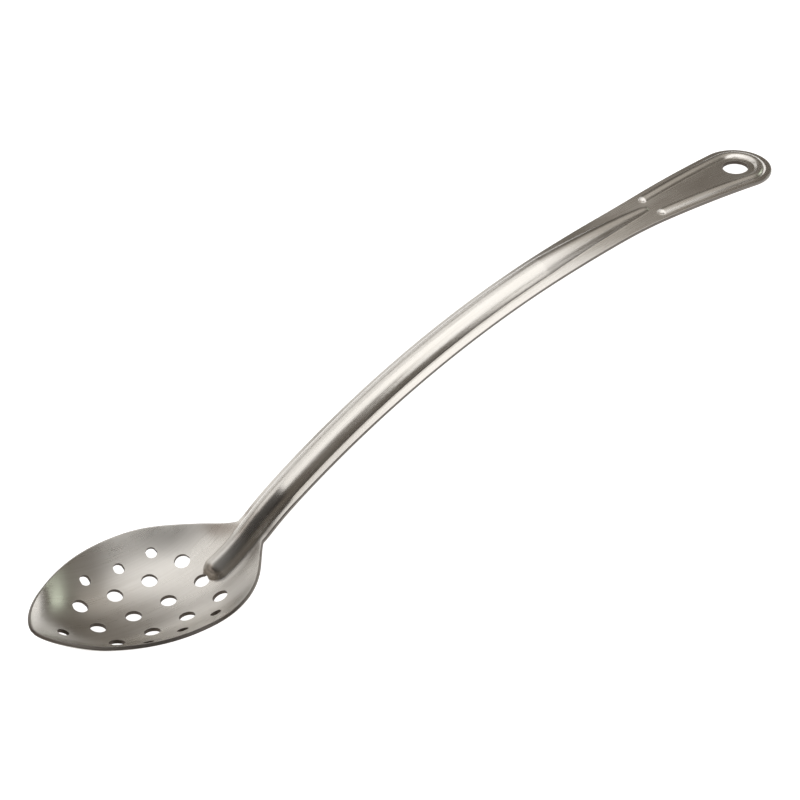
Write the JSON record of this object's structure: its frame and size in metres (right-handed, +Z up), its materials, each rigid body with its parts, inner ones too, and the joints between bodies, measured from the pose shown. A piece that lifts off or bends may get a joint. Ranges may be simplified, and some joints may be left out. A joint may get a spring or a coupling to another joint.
{
  "type": "perforated serving spoon",
  "caption": "Pressed steel serving spoon with an egg-shaped perforated bowl for draining, an arched ribbed handle and a flared round end with a hanging hole.",
  "frame": {"origin": "middle of the spoon's box on the surface that it lies on, bowl up and handle arched", "axes": "+X from the tip of the bowl to the hanging end, +Z up, +Y to the left of someone who looks along +X"},
  "size_m": [0.3789, 0.0732, 0.0361],
  "materials": {
    "steel": "satin brushed stainless steel"
  },
  "bodies": {
    "root": {"bowl": "steel", "handle": "steel", "hanging_end": "steel"}
  },
  "joints": []
}
